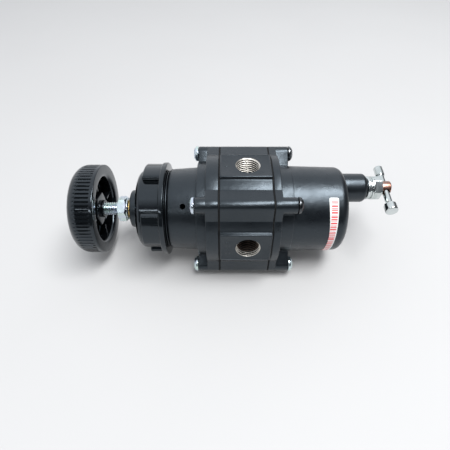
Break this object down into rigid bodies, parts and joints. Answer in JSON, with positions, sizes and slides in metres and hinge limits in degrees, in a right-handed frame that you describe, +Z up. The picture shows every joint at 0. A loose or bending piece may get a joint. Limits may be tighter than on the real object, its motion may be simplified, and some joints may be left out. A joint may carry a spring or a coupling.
{
  "type": "air pressure regulator",
  "caption": "Pneumatic pressure regulator with a handwheel, panel ring nut, pipe ports in a square-lugged cast body, filter bowl and off-centre drain cock.",
  "frame": {"origin": "bottom centre of the bounding box: on the table under the part as it lies on its lower port pad", "axes": "+X along the main axis from the knob to the drain cock, +Y towards the outlet port, +Z up through the top port"},
  "size_m": [0.1996, 0.0686, 0.0686],
  "materials": {
    "cast_black": "matte black paint on a die casting",
    "gloss_black": "glossy black moulding",
    "rubber": "matte black rubber",
    "zinc": "bright zinc plating",
    "steel": "oiled spring steel",
    "aluminium": "machined",
    "brass": "turned yellow brass",
    "bronze": "worn red brass",
    "chrome": "bright nickel plating",
    "sintered": "porous sintered bronze",
    "label_white": "white film with red print"
  },
  "bodies": {
    "housing": {"bonnet": "cast_black", "body": "cast_black", "bowl": "cast_black", "bowl_gasket": "rubber", "stem_bushing": "brass", "diaphragm": "rubber", "range_spring": "steel", "valve_seat": "brass", "valve_guide": "brass", "valve_spring": "steel", "baffle": "gloss_black", "filter_element": "sintered", "filter_cap": "aluminium", "filter_bolt": "zinc", "bowl_label": "label_white", "drain_body": "chrome", "bonnet_screw_1": "zinc", "bonnet_screw_2": "zinc", "bonnet_screw_3": "zinc", "bonnet_screw_4": "zinc", "bowl_screw_1": "zinc", "bowl_screw_2": "zinc", "bowl_screw_3": "zinc", "bowl_screw_4": "zinc"},
    "spring_button": {"spring_button": "zinc"},
    "adjuster": {"adjusting_screw": "zinc", "knob": "gloss_black", "knob_screw": "zinc"},
    "lock_washer": {"lock_washer": "zinc"},
    "lock_nut": {"lock_nut": "zinc"},
    "panel_washer": {"panel_washer": "rubber"},
    "ring_nut": {"ring_nut": "gloss_black"},
    "diaphragm_group": {"diaphragm_plate": "aluminium", "relief_seat": "brass", "diaphragm_nut": "zinc"},
    "valve_plug": {"valve_plug": "rubber"},
    "drain_needle": {"drain_needle": "rubber"},
    "drain_handle": {"drain_stem": "bronze", "drain_bar": "chrome"}
  },
  "joints": [
    {"name": "screw_travel", "type": "slide", "parent": "housing", "child": "spring_button", "axis": [1, 0, 0], "range_m": [0, 0.00625], "deforming": ["range_spring"]},
    {"name": "knob_turn", "type": "hinge", "parent": "spring_button", "child": "adjuster", "pos_m": [-0.0101, 0, 0.0343], "axis": [1, 0, 0], "range_deg": [0, 1800]},
    {"name": "lock_nut_travel", "type": "slide", "parent": "housing", "child": "lock_washer", "axis": [1, 0, 0], "range_m": [-0.0025, 0]},
    {"name": "lock_nut_turn", "type": "hinge", "parent": "lock_washer", "child": "lock_nut", "pos_m": [-0.0101, 0, 0.0343], "axis": [1, 0, 0], "range_deg": [-720, 0]},
    {"name": "ring_nut_travel", "type": "slide", "parent": "housing", "child": "panel_washer", "axis": [1, 0, 0], "range_m": [-0.003, 0]},
    {"name": "ring_nut_turn", "type": "hinge", "parent": "panel_washer", "child": "ring_nut", "pos_m": [-0.0101, 0, 0.0343], "axis": [1, 0, 0], "range_deg": [-720, 0]},
    {"name": "diaphragm_travel", "type": "slide", "parent": "housing", "child": "diaphragm_group", "axis": [1, 0, 0], "range_m": [0, 0.0012], "stiffness_N_per_m": 1500, "deforming": ["diaphragm"]},
    {"name": "valve_travel", "type": "slide", "parent": "housing", "child": "valve_plug", "axis": [1, 0, 0], "range_m": [0, 0.0012], "deforming": ["valve_spring"]},
    {"name": "drain_travel", "type": "slide", "parent": "housing", "child": "drain_needle", "axis": [1, 0, 0], "range_m": [0, 0.002]},
    {"name": "drain_turn", "type": "hinge", "parent": "drain_needle", "child": "drain_handle", "pos_m": [0.0956, 0.00948, 0.04378], "axis": [1, 0, 0], "range_deg": [-720, 0]}
  ],
  "couplings": [
    {"joint": "screw_travel", "follows": "knob_turn", "m_per_rad": 0.00019894},
    {"joint": "lock_nut_travel", "follows": "lock_nut_turn", "m_per_rad": 0.00019894},
    {"joint": "ring_nut_travel", "follows": "ring_nut_turn", "m_per_rad": 0.00023873},
    {"joint": "valve_travel", "follows": "diaphragm_travel", "ratio": 1},
    {"joint": "drain_travel", "follows": "drain_turn", "m_per_rad": -0.00015915}
  ]
}
